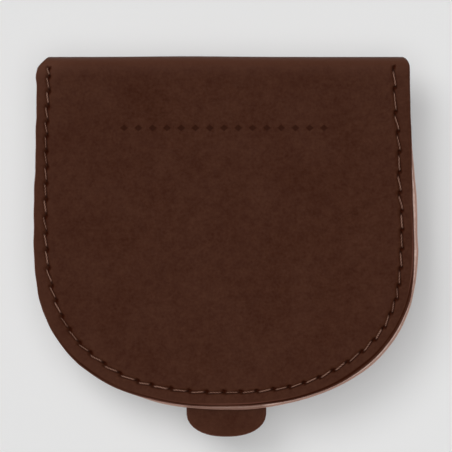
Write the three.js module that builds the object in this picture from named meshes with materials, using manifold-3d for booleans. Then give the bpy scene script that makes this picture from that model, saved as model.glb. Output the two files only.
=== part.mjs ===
// A horseshoe coin purse of brown leather, closed and lying on the outside of its lid.
//
// One piece of brown leather makes the whole cover: a flat back panel, a straight fold along the
// hinge edge, and a moulded tray lid whose flange ends in a pull tab. A moulded cup of natural
// leather holds the coins. Its flange is sewn under the back panel, its mouth faces the hinge, and
// it nests in the lid, where a press stud holds it shut.
//
// Millimetres, +Z up. +Y runs from the rounded nose to the straight hinge edge, and +X is to the
// right for somebody who reads the back panel with the hinge edge up.
// The origin is on the floor, under the middle of the purse.

import * as THREE from 'three';
import { mergeVertices } from 'three/addons/utils/BufferGeometryUtils.js';
import Module from 'manifold-3d';

const wasm = await Module();
wasm.setup();

// Outline of the back panel
const BACK_HALF_WIDTH = 40.0; // at the widest, where the nose begins
const HINGE_HALF_WIDTH = 39.3;
const SIDE_LENGTH = 40.5; // from the hinge edge to where the nose begins
const NOSE_DEPTH = 32.7;
const NOSE_FULLNESS = 2.38; // superellipse exponent: 2 is an ellipse, more is squarer
const CORNER_RADIUS = 2.6; // at the two ends of the hinge edge
const EDGE_ROUNDING = 0.6; // of the cover's burnished edges

// Leather
const COVER_THICKNESS = 1.6;
const CUP_THICKNESS = 1.1;
const PLY_GAP = 0.15; // between two plies of leather that lie on each other

// Lid
const PURSE_DEPTH = 15.5; // closed, from the lid's floor to the face of the back panel
const FLANGE_WIDTH = 6.0; // from the outline to the lid's wall
const RIM_RADIUS = 1.0; // inside the bend from flange to wall
const FLOOR_RADIUS = 3.2; // outside the bend from wall to floor
const WALL_DRAFT = THREE.MathUtils.degToRad(6);
const LID_CORNER_RADIUS = 7.0; // of the lid's walls beside the hinge, in plan

// Pull tab, cut in one with the lid's flange
const TAB_HALF_WIDTH = 8.4;
const TAB_REACH = 6.4; // past the nose of the back panel
const TAB_TIP_DEPTH = 5.0; // the rounded part of the tab
const TAB_FULLNESS = 2.2;
const TAB_OFFSET = 0.5; // to the right of the middle
const TAB_EDGE_BEVEL = 0.3;

// Coin cup
const CUP_CLEARANCE = 0.5; // between the walls of cup and lid
const CUP_FLOOR_RADIUS = 3.0;
const CUP_MOUTH_SETBACK = 8.0; // from the hinge edge to the cut end of the cup's floor
const CUP_FLANGE_PROUD_RIGHT = 0.7; // how far the raw edge shows past the back panel
const CUP_FLANGE_PROUD_LEFT = -0.4;
const CUP_FLANGE_PROUD_NOSE = 0.9;
const CUP_FLANGE_PROUD_HINGE = -0.6; // at the right end of the hinge edge
const CUP_FLANGE_SETBACK = 0.5; // from the end of the flange to the inside of the fold

// Press stud, riveted through the cup's floor and seated in the lid
const STUD_BODY_RADIUS = 4.2;
const STUD_BODY_HEIGHT = 1.2;
const STUD_SHANK_RADIUS = 1.4;
const STUD_HEAD_RADIUS = 3.2;
const STUD_HEAD_HEIGHT = 0.6;
const STUD_CLEARANCE = 0.15;
const STUD_SETBACK = 17.0; // from the nose of the back panel

// How finely the curves are cut
const NOSE_STEPS = 40;
const SIDE_STEPS = 3;
const CORNER_STEPS = 4;
const HINGE_STEPS = 4;
const BEND_STEPS = 4;
const FOLD_STEPS = 6;
const ROUND_STEPS = 24;

// Heights that follow from the plies
const backUnderside = PURSE_DEPTH - COVER_THICKNESS;
const cupFlangeTop = backUnderside - PLY_GAP;
const cupFlangeUnderside = cupFlangeTop - CUP_THICKNESS;
const lidFlangeTop = cupFlangeUnderside - PLY_GAP;
const lidFlangeUnderside = lidFlangeTop - COVER_THICKNESS;
const lidFloorTop = COVER_THICKNESS;
const studBodyUnderside = lidFloorTop + STUD_CLEARANCE;
const cupFloorUnderside = studBodyUnderside + STUD_BODY_HEIGHT + STUD_CLEARANCE;
const cupFloorTop = cupFloorUnderside + CUP_THICKNESS;

// Places in plan: the purse is centred on the origin with its tab and its raw edge counted
const backLength = SIDE_LENGTH + NOSE_DEPTH;
const hingeY = (backLength + TAB_REACH) / 2;
const noseCentreY = hingeY - SIDE_LENGTH;
const noseY = hingeY - backLength;
const tabTipY = noseY - TAB_REACH;
const backCentreX = -Math.max(0, CUP_FLANGE_PROUD_RIGHT) / 2;
const studY = noseY + STUD_SETBACK;
const mouthY = hingeY - CUP_MOUTH_SETBACK;

// The fold is half a tube: outside it turns from the back panel to the underside of the lid's flange
const foldCentreZ = (PURSE_DEPTH + lidFlangeUnderside) / 2;
const foldRadius = (PURSE_DEPTH - lidFlangeUnderside) / 2;
const foldInsideRadius = foldRadius - COVER_THICKNESS;
// The lid's wall comes nearer to the outline at the hinge than it does round the sides
const hingeShift = FLANGE_WIDTH - (foldRadius + RIM_RADIUS);

const backOutline = {
  centreX: backCentreX,
  halfWidth: BACK_HALF_WIDTH,
  hingeHalfWidth: HINGE_HALF_WIDTH,
  noseDepth: NOSE_DEPTH,
};

// The cup's flange is the same horseshoe, cut a little larger and sewn on a little to the right
const cupShiftX = (CUP_FLANGE_PROUD_RIGHT - CUP_FLANGE_PROUD_LEFT) / 2;
const cupFlangeOutline = {
  centreX: backCentreX + cupShiftX,
  halfWidth: BACK_HALF_WIDTH + (CUP_FLANGE_PROUD_RIGHT + CUP_FLANGE_PROUD_LEFT) / 2,
  hingeHalfWidth: HINGE_HALF_WIDTH + CUP_FLANGE_PROUD_HINGE - cupShiftX,
  noseDepth: NOSE_DEPTH + CUP_FLANGE_PROUD_NOSE,
};

// One horseshoe at height z, counterclockwise from above. sideInset draws in the sides and the
// nose, and hingeInset the straight edge.
function horseshoe(outline, sideInset, hingeInset, cornerRadius, z) {
  const half = outline.halfWidth - sideInset;
  const hingeHalf = outline.hingeHalfWidth - sideInset;
  const depth = outline.noseDepth - sideInset;
  const top = hingeY - hingeInset;
  const power = 2 / NOSE_FULLNESS;
  const points = [];
  const add = (x, y) => points.push(new THREE.Vector3(outline.centreX + x, y, z));
  for (let i = 0; i < NOSE_STEPS; i++) {
    const angle = Math.PI * (1 + i / NOSE_STEPS);
    const across = Math.cos(angle);
    const down = Math.abs(Math.sin(angle));
    add(half * Math.sign(across) * Math.abs(across) ** power, noseCentreY - depth * down ** power);
  }
  const sideTop = top - cornerRadius;
  for (let i = 0; i < SIDE_STEPS; i++) {
    const share = i / SIDE_STEPS;
    add(THREE.MathUtils.lerp(half, hingeHalf, share), THREE.MathUtils.lerp(noseCentreY, sideTop, share));
  }
  for (const side of [1, -1]) {
    const middle = side * (hingeHalf - cornerRadius);
    for (let i = 0; i < CORNER_STEPS; i++) {
      const angle = (Math.PI / 2) * (i / CORNER_STEPS) + (side > 0 ? 0 : Math.PI / 2);
      add(middle + cornerRadius * Math.cos(angle), sideTop + cornerRadius * Math.sin(angle));
    }
    for (let i = 0; side > 0 && i < HINGE_STEPS; i++) {
      add(THREE.MathUtils.lerp(middle, -middle, i / HINGE_STEPS), top);
    }
  }
  for (let i = 0; i < SIDE_STEPS; i++) {
    const share = i / SIDE_STEPS;
    add(THREE.MathUtils.lerp(-hingeHalf, -half, share), THREE.MathUtils.lerp(sideTop, noseCentreY, share));
  }
  return points;
}

// A closed solid through rings of equal length, lowest first, each counterclockwise from above
function loft(rings) {
  const count = rings[0].length;
  const index = [];
  for (let k = 0; k + 1 < rings.length; k++) {
    for (let i = 0; i < count; i++) {
      const next = (i + 1) % count;
      const [a, b] = [k * count + i, k * count + next];
      index.push(a, b, b + count, a, b + count, a + count);
    }
  }
  const flat = (ring) => ring.map((p) => new THREE.Vector2(p.x, p.y));
  for (const [a, b, c] of THREE.ShapeUtils.triangulateShape(flat(rings[0]), [])) {
    index.push(a, c, b);
  }
  const last = (rings.length - 1) * count;
  for (const [a, b, c] of THREE.ShapeUtils.triangulateShape(flat(rings.at(-1)), [])) {
    index.push(last + a, last + b, last + c);
  }
  const geometry = new THREE.BufferGeometry().setFromPoints(rings.flat());
  geometry.setIndex(index);
  return geometry;
}

// A closed three.js geometry as a solid that can be joined and cut
function toSolid(geometry) {
  geometry.deleteAttribute('normal');
  geometry.deleteAttribute('uv');
  const merged = mergeVertices(geometry, 1e-5);
  const mesh = new wasm.Mesh({
    numProp: 3,
    vertProperties: new Float32Array(merged.attributes.position.array),
    triVerts: new Uint32Array(merged.index.array),
  });
  return new wasm.Manifold(mesh);
}

function fromSolid(solid) {
  const { vertProperties, triVerts } = solid.getMesh();
  const geometry = new THREE.BufferGeometry();
  geometry.setAttribute('position', new THREE.BufferAttribute(new Float32Array(vertProperties), 3));
  geometry.setIndex(new THREE.BufferAttribute(new Uint32Array(triVerts), 1));
  geometry.computeVertexNormals();
  return geometry;
}

function box(fromX, toX, fromY, toY, fromZ, toZ) {
  const geometry = new THREE.BoxGeometry(toX - fromX, toY - fromY, toZ - fromZ);
  return geometry.translate((fromX + toX) / 2, (fromY + toY) / 2, (fromZ + toZ) / 2);
}

// The section of a moulded tray from its floor up to its flange, as pairs of inset and height.
// The bend at the rim turns about a centre outside the tray, and the bend at the floor about one inside.
function traySection({ flangeZ, floorZ, wallInset, rimRadius, floorRadius }) {
  const [cos, sin] = [Math.cos(WALL_DRAFT), Math.sin(WALL_DRAFT)];
  const tan = sin / cos;
  const wallAt = (z) => wallInset + (lidFlangeUnderside - z) * tan;
  const floorCentre = { z: floorZ + floorRadius };
  floorCentre.inset = wallAt(floorCentre.z) + floorRadius / cos;
  const rimCentre = { z: flangeZ - rimRadius };
  rimCentre.inset = wallAt(rimCentre.z) - rimRadius / cos;
  const section = [];
  for (let i = 0; i <= BEND_STEPS; i++) {
    const angle = THREE.MathUtils.lerp(-Math.PI / 2, -Math.PI + WALL_DRAFT, i / BEND_STEPS);
    section.push({
      inset: floorCentre.inset + floorRadius * Math.cos(angle),
      z: floorCentre.z + floorRadius * Math.sin(angle),
    });
  }
  for (let i = 0; i <= BEND_STEPS; i++) {
    const angle = THREE.MathUtils.lerp(WALL_DRAFT, Math.PI / 2, i / BEND_STEPS);
    section.push({
      inset: rimCentre.inset + rimRadius * Math.cos(angle),
      z: rimCentre.z + rimRadius * Math.sin(angle),
    });
  }
  return section;
}

// The body of a tray from its section. overlap carries it on past its flange, so that it joins or cuts cleanly.
function trayBody(section, overlap) {
  const rim = section.at(-1);
  const rows = [...section, { inset: rim.inset, z: rim.z + overlap }];
  return toSolid(loft(rows.map(({ inset, z }) => {
    const corner = Math.max(LID_CORNER_RADIUS - (inset - FLANGE_WIDTH), CORNER_RADIUS);
    return horseshoe(backOutline, inset, inset - hingeShift, corner, z);
  })));
}

const lidOutside = traySection({
  flangeZ: lidFlangeUnderside,
  floorZ: 0,
  wallInset: FLANGE_WIDTH,
  rimRadius: RIM_RADIUS,
  floorRadius: FLOOR_RADIUS,
});
const lidInside = traySection({
  flangeZ: lidFlangeTop,
  floorZ: lidFloorTop,
  wallInset: FLANGE_WIDTH + COVER_THICKNESS / Math.cos(WALL_DRAFT),
  rimRadius: RIM_RADIUS + COVER_THICKNESS,
  floorRadius: FLOOR_RADIUS - COVER_THICKNESS,
});
const cupWallInset = FLANGE_WIDTH + (COVER_THICKNESS + CUP_CLEARANCE) / Math.cos(WALL_DRAFT);
const cupOutside = traySection({
  flangeZ: cupFlangeUnderside,
  floorZ: cupFloorUnderside,
  wallInset: cupWallInset,
  rimRadius: RIM_RADIUS + COVER_THICKNESS,
  floorRadius: CUP_FLOOR_RADIUS,
});
const cupInside = traySection({
  flangeZ: cupFlangeTop,
  floorZ: cupFloorTop,
  wallInset: cupWallInset + CUP_THICKNESS / Math.cos(WALL_DRAFT),
  rimRadius: RIM_RADIUS + COVER_THICKNESS + CUP_THICKNESS,
  floorRadius: CUP_FLOOR_RADIUS - CUP_THICKNESS,
});

// Back panel, fold and lid flange as one thick plate, rounded over along the hinge edge
function foldedPlate() {
  const levels = new Set();
  for (let i = 0; i <= FOLD_STEPS; i++) {
    levels.add(foldCentreZ - foldRadius * Math.cos(Math.PI * (i / FOLD_STEPS)));
  }
  const edgeInset = (distance) => {
    const short = Math.max(0, EDGE_ROUNDING - distance);
    return EDGE_ROUNDING - Math.sqrt(EDGE_ROUNDING ** 2 - short ** 2);
  };
  for (const share of [0.15, 0.45, 1]) {
    levels.add(lidFlangeUnderside + EDGE_ROUNDING * share);
    levels.add(PURSE_DEPTH - EDGE_ROUNDING * share);
  }
  const rings = [...levels].sort((a, b) => a - b).map((z) => {
    const distance = Math.max(0, Math.min(z - lidFlangeUnderside, PURSE_DEPTH - z));
    const rise = Math.min(foldRadius, Math.abs(z - foldCentreZ));
    const hingeInset = foldRadius - Math.sqrt(foldRadius ** 2 - rise ** 2);
    return horseshoe(backOutline, edgeInset(distance), hingeInset, CORNER_RADIUS, z);
  });
  return toSolid(loft(rings));
}

// The room between back panel and lid flange: open round the sides and the nose, closed by the fold
function plySlot() {
  const overshoot = FLANGE_WIDTH;
  const rings = [];
  for (let i = 0; i <= FOLD_STEPS; i++) {
    const angle = Math.PI * (i / FOLD_STEPS);
    const z = foldCentreZ - foldInsideRadius * Math.cos(angle);
    const hingeInset = foldRadius - foldInsideRadius * Math.sin(angle);
    rings.push(horseshoe(backOutline, -overshoot, hingeInset, CORNER_RADIUS, z));
  }
  return toSolid(loft(rings));
}

function pullTab() {
  const tipCentreY = tabTipY + TAB_TIP_DEPTH;
  const centreX = backCentreX + TAB_OFFSET;
  const rootY = noseY + FLANGE_WIDTH / 2;
  const power = 2 / TAB_FULLNESS;
  const shape = new THREE.Shape();
  shape.moveTo(centreX + TAB_HALF_WIDTH, rootY);
  shape.lineTo(centreX - TAB_HALF_WIDTH, rootY);
  const tipSteps = NOSE_STEPS / 2;
  for (let i = 0; i <= tipSteps; i++) {
    const angle = Math.PI * (1 + i / tipSteps);
    const across = Math.cos(angle);
    const down = Math.abs(Math.sin(angle));
    shape.lineTo(
      centreX + TAB_HALF_WIDTH * Math.sign(across) * Math.abs(across) ** power,
      tipCentreY - TAB_TIP_DEPTH * down ** power,
    );
  }
  const geometry = new THREE.ExtrudeGeometry(shape, {
    depth: COVER_THICKNESS - 2 * TAB_EDGE_BEVEL,
    bevelEnabled: true,
    bevelThickness: TAB_EDGE_BEVEL,
    bevelSize: TAB_EDGE_BEVEL,
    bevelOffset: -TAB_EDGE_BEVEL,
    bevelSegments: 2,
  });
  return toSolid(geometry.translate(0, 0, lidFlangeUnderside + TAB_EDGE_BEVEL));
}

function coverGeometry() {
  const outside = foldedPlate()
    .add(trayBody(lidOutside, COVER_THICKNESS / 2))
    .add(pullTab());
  return fromSolid(outside.subtract(plySlot()).subtract(trayBody(lidInside, foldInsideRadius)));
}

function coinCupGeometry() {
  const flangeHingeInset = COVER_THICKNESS + CUP_FLANGE_SETBACK;
  const flange = toSolid(loft([cupFlangeUnderside, cupFlangeTop].map(
    (z) => horseshoe(cupFlangeOutline, 0, flangeHingeInset, CORNER_RADIUS, z),
  )));
  const far = BACK_HALF_WIDTH + hingeY;
  const pastMouth = toSolid(box(-far, far, mouthY, hingeY + far, -far, cupFlangeUnderside));
  const body = trayBody(cupOutside, CUP_THICKNESS / 2).subtract(pastMouth);
  // Beyond the mouth only the two arms of the flange go on to the fold
  const armInset = cupInside.at(-1).inset;
  const armHalf = HINGE_HALF_WIDTH - armInset;
  const betweenArms = toSolid(
    box(backCentreX - armHalf, backCentreX + armHalf, mouthY, hingeY, cupFloorUnderside, PURSE_DEPTH),
  );
  const studHole = toSolid(
    new THREE.CylinderGeometry(
      STUD_SHANK_RADIUS + STUD_CLEARANCE,
      STUD_SHANK_RADIUS + STUD_CLEARANCE,
      PURSE_DEPTH,
      ROUND_STEPS,
    ).rotateX(Math.PI / 2).translate(backCentreX, studY, cupFloorTop),
  );
  return fromSolid(
    flange.add(body)
      .subtract(trayBody(cupInside, PLY_GAP))
      .subtract(betweenArms)
      .subtract(studHole),
  );
}

// Turned brass: a low seat between cup and lid, a shank through the cup's floor and a flat head inside it
function pressStudGeometry() {
  const seatTop = studBodyUnderside + STUD_BODY_HEIGHT;
  const headUnderside = cupFloorTop + STUD_CLEARANCE;
  const headTop = headUnderside + STUD_HEAD_HEIGHT;
  const profile = [
    [0, studBodyUnderside],
    [STUD_BODY_RADIUS, studBodyUnderside],
    [STUD_BODY_RADIUS, seatTop],
    [STUD_SHANK_RADIUS, seatTop],
    [STUD_SHANK_RADIUS, headUnderside],
    [STUD_HEAD_RADIUS, headUnderside],
    [STUD_HEAD_RADIUS - STUD_HEAD_HEIGHT / 2, headTop],
    [0, headTop],
  ].map(([radius, z]) => new THREE.Vector2(radius, z));
  const turned = new THREE.LatheGeometry(profile, ROUND_STEPS).rotateX(Math.PI / 2);
  return fromSolid(toSolid(turned.translate(backCentreX, studY, 0)));
}

const brownLeather = new THREE.MeshStandardMaterial({ color: '#402419', roughness: 0.6, metalness: 0 });
const naturalLeather = new THREE.MeshStandardMaterial({ color: '#b1958a', roughness: 0.8, metalness: 0 });
const brass = new THREE.MeshStandardMaterial({ color: '#8f7443', roughness: 0.35, metalness: 1 });

function piece(name, geometry, material) {
  const mesh = new THREE.Mesh(geometry, material);
  mesh.name = name;
  return mesh;
}

const purse = new THREE.Group();
purse.add(piece('cover', coverGeometry(), brownLeather));
purse.add(piece('coin_cup', coinCupGeometry(), naturalLeather));
purse.add(piece('press_stud', pressStudGeometry(), brass));

export default purse;
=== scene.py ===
import math

import bpy
import numpy as np
from mathutils.kdtree import KDTree
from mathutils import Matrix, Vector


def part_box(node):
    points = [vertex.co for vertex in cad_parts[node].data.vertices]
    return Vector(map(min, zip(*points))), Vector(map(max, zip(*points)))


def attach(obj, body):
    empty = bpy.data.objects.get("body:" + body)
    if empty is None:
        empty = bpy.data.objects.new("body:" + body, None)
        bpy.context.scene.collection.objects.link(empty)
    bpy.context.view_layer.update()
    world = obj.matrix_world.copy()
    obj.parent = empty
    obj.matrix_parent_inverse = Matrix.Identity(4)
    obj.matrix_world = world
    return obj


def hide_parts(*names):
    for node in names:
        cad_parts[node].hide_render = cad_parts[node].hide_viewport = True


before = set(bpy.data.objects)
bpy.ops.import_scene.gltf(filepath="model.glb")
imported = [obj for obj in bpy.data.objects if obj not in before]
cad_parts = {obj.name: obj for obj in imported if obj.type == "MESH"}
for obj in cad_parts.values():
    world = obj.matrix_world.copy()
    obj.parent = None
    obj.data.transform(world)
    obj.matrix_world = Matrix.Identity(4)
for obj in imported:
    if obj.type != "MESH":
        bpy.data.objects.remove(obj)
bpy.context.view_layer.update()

bpy.ops.object.select_all(action="DESELECT")


# The cover is one piece of smooth brown cowhide, waxed and 1.6 mm thick: a flat back panel, a fold
# along the straight hinge edge, and a lid that was wetted and moulded over a last into a tray.
# It was cut to a template, folded, holed for the seam, and its edges burnished round and painted.
MM = 0.001
COVER_THICKNESS = 1.6 * MM
CUP_THICKNESS = 1.1 * MM
PLY_GAP = 0.15 * MM
HINGE_HALF_WIDTH = 39.3 * MM
SIDE_LENGTH = 40.5 * MM
NOSE_DEPTH = 32.7 * MM
NOSE_FULLNESS = 2.38
EDGE_ROUNDING = 0.45 * MM

cover_low, cover_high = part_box("cover")
centre_x = (cover_low.x + cover_high.x) / 2
half_width = (cover_high.x - cover_low.x) / 2
hinge_y = cover_high.y
face_z = cover_high.z
nose_centre_y = hinge_y - SIDE_LENGTH
nose_y = nose_centre_y - NOSE_DEPTH
fold_radius = COVER_THICKNESS + PLY_GAP + CUP_THICKNESS / 2
fold_y = hinge_y - fold_radius
fold_z = face_z - fold_radius
flange_z = face_z - 2 * fold_radius

# Where the knife strayed from the template, by the angle round the middle of the nose's arc
COVER_STRAYS = (
    # degrees, outwards in mm, reach in degrees
    (-140, 0.13, 8),
    (-125, 0.17, 8),
    (-99, 0.36, 15),
    (-80, 0.12, 6),
    (-68, 0.16, 8),
    (-16, 0.25, 7),
    (20, -0.15, 8),
    (40, -0.27, 12),
    (135.5, -0.12, 0.9),
    (137.2, 0.25, 0.9),
    (167, 0.18, 6),
    (189, -0.16, 5),
)
back_template = {
    "centre_x": centre_x,
    "half": half_width,
    "hinge_half": HINGE_HALF_WIDTH,
    "depth": NOSE_DEPTH,
    "strays": COVER_STRAYS,
}

# The knife's short waves: each one's length over two pi, their size on the left and on the right,
# how far in from the edge and how near the fold they die away, and where along the panel's and the
# lid's edge they fall, in radians
WAVE_PACES = (0.95 * MM, 1.7 * MM, 2.6 * MM)
WAVE_SIZES = (0.04 * MM, 0.015 * MM)
WAVE_REACH = 2.5 * MM
WAVE_END = 4 * MM
STRAY_REACH = 6 * MM
PANEL_HAND = 0.0
LID_HAND = 1.7

# How many places each ring has on the nose, a side, a corner and the hinge edge, and how many steps
# a curve is measured in
NOSE_PLACES = 176
SIDE_PLACES = 44
CORNER_PLACES = 26
HINGE_PLACES = 48
FINE_STEPS = 4000
CORNER_LEG = 9.0 * MM


def nose_angles():
    """Angles that lie evenly spaced along the rounded nose."""
    fine = np.linspace(math.pi, 2 * math.pi, FINE_STEPS + 1)
    x = half_width * np.sign(np.cos(fine)) * np.abs(np.cos(fine)) ** (2 / NOSE_FULLNESS)
    y = NOSE_DEPTH * np.abs(np.sin(fine)) ** (2 / NOSE_FULLNESS)
    gone = np.r_[0, np.cumsum(np.hypot(np.diff(x), np.diff(y)))]
    return np.interp(np.linspace(0, gone[-1], NOSE_PLACES, endpoint=False), gone, fine)


NOSE_ANGLES = nose_angles()


def corner_place(share, radius):
    """How far up the side and in along the hinge edge a share of a rounded corner's length leads."""
    straight = CORNER_LEG - radius
    length = 2 * straight + math.pi / 2 * radius
    gone = share * length
    if gone <= straight:
        return gone, 0.0
    if gone >= length - straight:
        return CORNER_LEG, CORNER_LEG - (length - gone)
    angle = (gone - straight) / radius
    return straight + radius * math.sin(angle), radius * (1 - math.cos(angle))


def horseshoe(template, inset, hinge_inset, corner_radius):
    """One ring of the template, drawn in by inset: nose, right side, hinge edge, left side."""
    half = template["half"] - inset
    hinge_half = template["hinge_half"] - inset
    depth = template["depth"] - inset
    top = hinge_y - hinge_inset
    power = 2 / NOSE_FULLNESS
    across = np.cos(NOSE_ANGLES)
    nose_x = half * np.sign(across) * np.abs(across) ** power
    nose_line = nose_centre_y - depth * np.abs(np.sin(NOSE_ANGLES)) ** power

    def side_x(y):
        return half + (hinge_half - half) * (y - nose_centre_y) / (top - nose_centre_y)

    right = []
    for share in np.linspace(0, 1, SIDE_PLACES, endpoint=False):
        y = nose_centre_y + (top - CORNER_LEG - nose_centre_y) * share
        right.append((side_x(y), y))
    for share in np.linspace(0, 1, CORNER_PLACES, endpoint=False):
        up, along = corner_place(share, corner_radius)
        y = top - CORNER_LEG + up
        right.append((side_x(y) - along, y))
    end = hinge_half - CORNER_LEG
    hinge_line = [(x, top) for x in np.linspace(end, -end, HINGE_PLACES, endpoint=False)]
    left = [(-x, y) for x, y in [*right[1:], (end, top)]][::-1]
    ring = np.array([*zip(nose_x, nose_line), *right, *hinge_line, *left])
    ring[:, 0] += template["centre_x"]
    return ring


def hand_cut(template, inset, hinge_inset, corner_radius, hand):
    """A ring of the template as it was cut: with its strays, and waves that are largest on the left."""
    ring = horseshoe(template, inset, hinge_inset, corner_radius)
    x, y = ring[:, 0] - centre_x, ring[:, 1] - nose_centre_y
    outward = np.stack([x, np.minimum(y, 0)], 1)
    outward /= np.maximum(np.hypot(outward[:, 0], outward[:, 1]), 1 * MM)[:, None]
    short, middling, long = WAVE_PACES
    wave = np.sin(y / short + hand) + np.sin(y / middling + 2 * hand) + np.sin(x / long + hand)
    size = np.where(x < 0, *WAVE_SIZES) * math.exp(-inset / WAVE_REACH)
    out = wave * size * np.clip((fold_y - WAVE_END - ring[:, 1]) / WAVE_END, 0, 1)
    turn = np.degrees(np.arctan2(y, x))
    for place, stray, reach in template["strays"]:
        away = (turn - place + 180) % 360 - 180
        out += stray * MM * np.exp(-((away / reach) ** 2)) * math.exp(-inset / STRAY_REACH)
    return ring + outward * out[:, None]


def at_height(ring, z):
    return np.column_stack([ring, np.full(len(ring), z)])


def towards_middle(ring, shares):
    """Copies of a ring, scaled towards its middle."""
    middle = np.array([centre_x, (fold_y + nose_y) / 2, ring[0, 2]])
    return [middle + (ring - middle) * share for share in shares]


def corners_of(piece):
    places = np.empty(len(piece.data.vertices) * 3, np.float32)
    piece.data.vertices.foreach_get("co", places)
    return places.reshape(-1, 3).astype(float)


def set_corners(piece, places):
    piece.data.vertices.foreach_set("co", places.astype(np.float32).ravel())
    piece.data.update()


def leather_sheet(name, rings):
    """A sheet worked inwards from its cut edge, ring by ring, and closed in the middle."""
    count = len(rings[0])
    bpy.ops.mesh.primitive_circle_add(vertices=count, radius=half_width)
    piece = bpy.context.object
    piece.name = name
    place = piece.data.attributes.new("place", "INT", "POINT")
    place.data.foreach_set("value", np.arange(count, dtype=np.int32))
    set_corners(piece, rings[0])
    bpy.ops.object.mode_set(mode="EDIT")
    bpy.ops.mesh.select_all(action="SELECT")
    for ring in rings[1:]:
        bpy.ops.mesh.extrude_edges_move()
        bpy.ops.object.mode_set(mode="OBJECT")
        total = len(piece.data.vertices)
        chosen = np.empty(total, bool)
        piece.data.vertices.foreach_get("select", chosen)
        column = np.empty(total, np.int32)
        piece.data.attributes["place"].data.foreach_get("value", column)
        places = corners_of(piece)
        places[chosen] = ring[column[chosen]]
        set_corners(piece, places)
        bpy.ops.object.mode_set(mode="EDIT")
    bpy.ops.mesh.extrude_edges_move()
    bpy.ops.mesh.merge(type="CENTER")
    bpy.ops.object.mode_set(mode="OBJECT")
    return piece


def choose(piece, kind, wanted):
    """Selects, in edit mode, the edges or faces that are wanted."""
    bpy.ops.object.mode_set(mode="EDIT")
    bpy.ops.mesh.select_mode(type=kind)
    bpy.ops.mesh.select_all(action="DESELECT")
    bpy.ops.object.mode_set(mode="OBJECT")
    parts = {"EDGE": piece.data.edges, "FACE": piece.data.polygons}
    parts[kind].foreach_set("select", np.asarray(wanted, bool))
    bpy.ops.object.mode_set(mode="EDIT")


def join(pieces, name):
    bpy.ops.object.select_all(action="DESELECT")
    for piece in pieces:
        piece.select_set(True)
    bpy.context.view_layer.objects.active = pieces[0]
    bpy.ops.object.join()
    pieces[0].name = name
    return pieces[0]


def apply_modifier(piece, name, kind, **settings):
    modifier = piece.modifiers.new(name, kind)
    for setting, value in settings.items():
        setattr(modifier, setting, value)
    bpy.context.view_layer.objects.active = piece
    bpy.ops.object.modifier_apply(modifier=name)


def face_middles(piece):
    middles = np.empty(len(piece.data.polygons) * 3, np.float32)
    piece.data.polygons.foreach_get("center", middles)
    return middles.reshape(-1, 3).astype(float)


def face_normals(piece):
    normals = np.empty(len(piece.data.polygons) * 3, np.float32)
    piece.data.polygons.foreach_get("normal", normals)
    return normals.reshape(-1, 3).astype(float)


# Back panel: the finer rings lie under the seam
PANEL_INSETS = [inset * MM for inset in (0, 0.75, 1.3, 1.8, 2.4, 3.0, 3.6, 4.2, 4.8, 5.6, 7.0)]
MIDDLE_SHARES = (0.93, 0.85, 0.76, 0.66, 0.55, 0.44, 0.33, 0.22, 0.11)


def back_panel():
    rings = []
    for inset in PANEL_INSETS:
        ring = hand_cut(back_template, inset, fold_radius + inset, 0, PANEL_HAND)
        rings.append(at_height(ring, face_z))
    return leather_sheet("back_panel", rings + towards_middle(rings[-1], MIDDLE_SHARES))


# The lid's tray: flange, bend at the rim, drafted wall, bend at the floor
FLANGE_WIDTH = 6.0 * MM
FLANGE_INSETS = [inset * MM for inset in (0, 0.75, 1.2, 1.8, 2.5, 3.4, 4.3)]
RIM_RADIUS = 1.0 * MM
FLOOR_RADIUS = 3.2 * MM
WALL_DRAFT = math.radians(6)
LID_CORNER_RADIUS = 7.0 * MM
LEAST_CORNER_RADIUS = 2.6 * MM
BEND_STEPS = 7
WALL_STEPS = 5

hinge_shift = FLANGE_WIDTH - (fold_radius + RIM_RADIUS)


def tray_section(rim_z, floor_z, wall_inset, rim_radius, floor_radius):
    """Pairs of inset and height from the flange down to the floor."""
    tan = math.tan(WALL_DRAFT)

    def wall_at(z):
        return wall_inset + (flange_z - z) * tan

    rim_centre_z = rim_z - rim_radius
    rim_centre = wall_at(rim_centre_z) - rim_radius / math.cos(WALL_DRAFT)
    floor_centre_z = floor_z + floor_radius
    floor_centre = wall_at(floor_centre_z) + floor_radius / math.cos(WALL_DRAFT)
    section = []
    for angle in np.linspace(math.pi / 2, WALL_DRAFT, BEND_STEPS):
        section.append((
            rim_centre + rim_radius * math.cos(angle),
            rim_centre_z + rim_radius * math.sin(angle),
        ))
    wall_top = section[-1]
    floor_bend = []
    for angle in np.linspace(-math.pi + WALL_DRAFT, -math.pi / 2, BEND_STEPS):
        floor_bend.append((
            floor_centre + floor_radius * math.cos(angle),
            floor_centre_z + floor_radius * math.sin(angle),
        ))
    for share in np.linspace(0, 1, WALL_STEPS + 1)[1:-1]:
        section.append((
            wall_top[0] + (floor_bend[0][0] - wall_top[0]) * share,
            wall_top[1] + (floor_bend[0][1] - wall_top[1]) * share,
        ))
    return section + floor_bend


def tray_rings(template, section, flange_insets, hinge_start, square_end):
    """Rings of a moulded tray. Its flange may end square at the hinge, where it runs on into a fold."""
    rim_inset, rim_z = section[0]
    rim_corner = max(LID_CORNER_RADIUS - (rim_inset - FLANGE_WIDTH), LEAST_CORNER_RADIUS)
    rings = []
    for inset in flange_insets:
        share = inset / rim_inset
        hinge_inset = hinge_start + (rim_inset - hinge_shift - hinge_start) * share
        corner = square_end + (rim_corner - square_end) * share
        rings.append(at_height(hand_cut(template, inset, hinge_inset, corner, LID_HAND), rim_z))
    for inset, z in section:
        corner = max(LID_CORNER_RADIUS - (inset - FLANGE_WIDTH), LEAST_CORNER_RADIUS)
        rings.append(at_height(horseshoe(template, inset, inset - hinge_shift, corner), z))
    return rings + towards_middle(rings[-1], MIDDLE_SHARES)


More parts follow.
